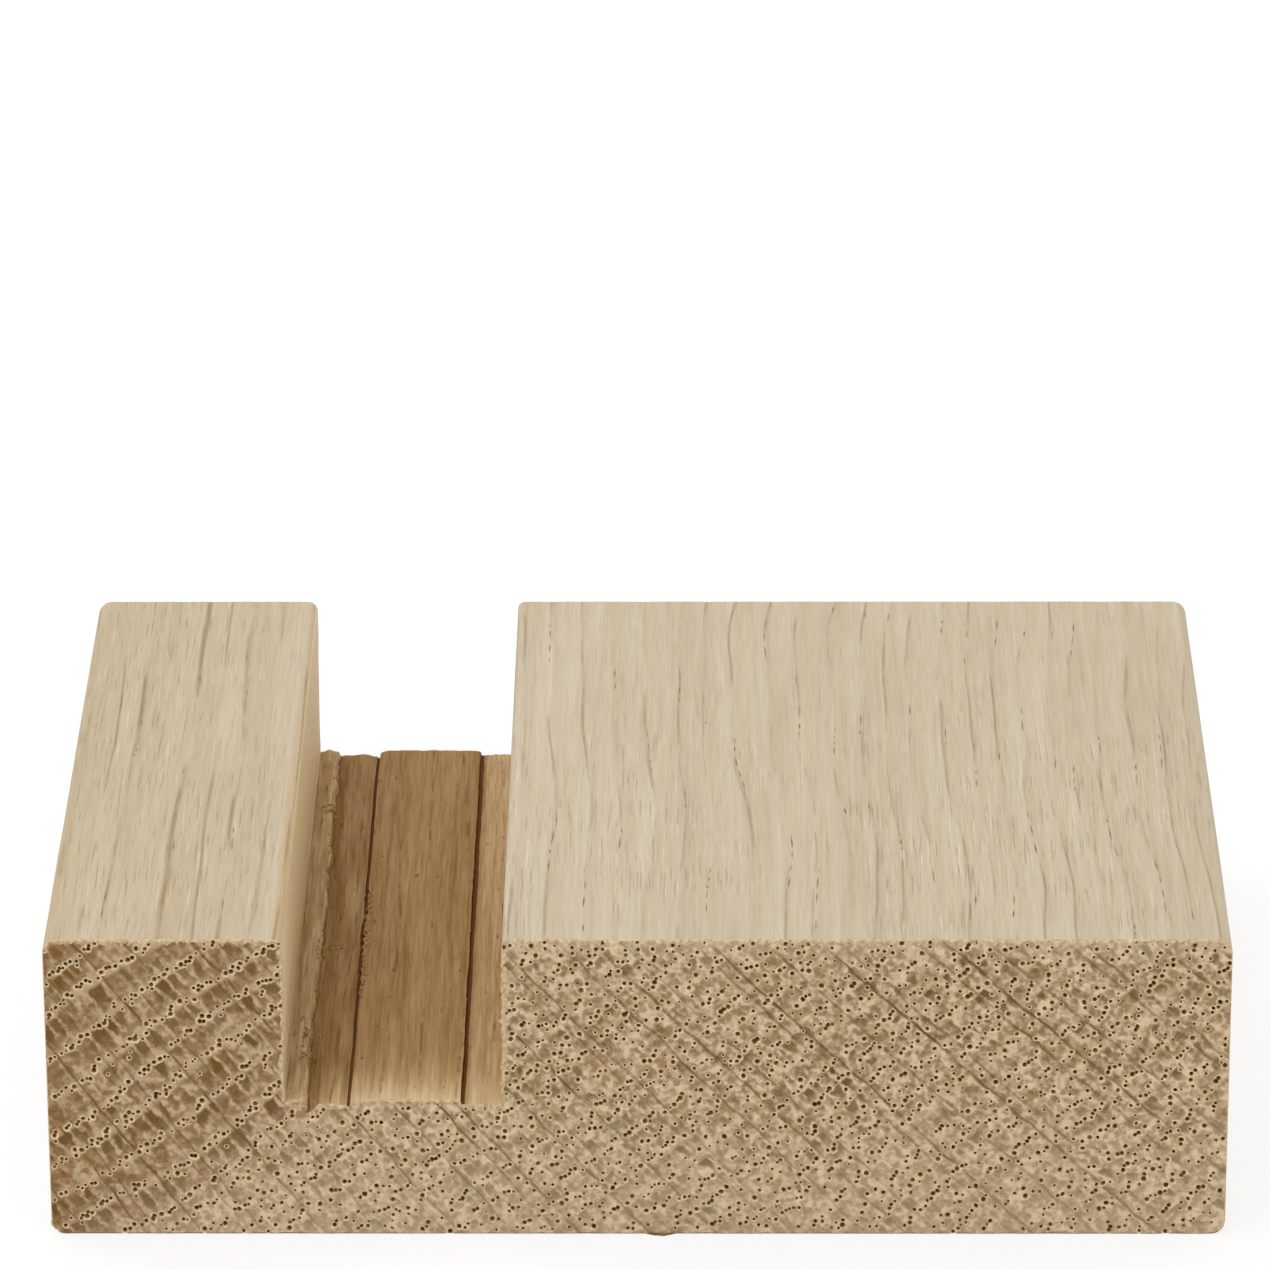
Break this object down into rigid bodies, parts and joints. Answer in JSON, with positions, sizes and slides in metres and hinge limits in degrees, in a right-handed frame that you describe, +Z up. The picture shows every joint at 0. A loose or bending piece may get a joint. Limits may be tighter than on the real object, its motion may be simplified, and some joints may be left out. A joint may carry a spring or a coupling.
{
  "type": "photo block holder",
  "caption": "Solid oak block with an off-centre slot along the grain, open at the top and both ends, that holds a photo block or mounted print upright on a shelf.",
  "frame": {"origin": "middle of the block's underside", "axes": "+X across the block from the narrow post to the wide one, +Y along the grain and the slot from the front end to the back, +Z up"},
  "size_m": [0.065, 0.047, 0.018],
  "materials": {
    "oak": "planed and sawn, unfinished"
  },
  "bodies": {
    "root": {"oak_block": "oak"}
  },
  "joints": []
}
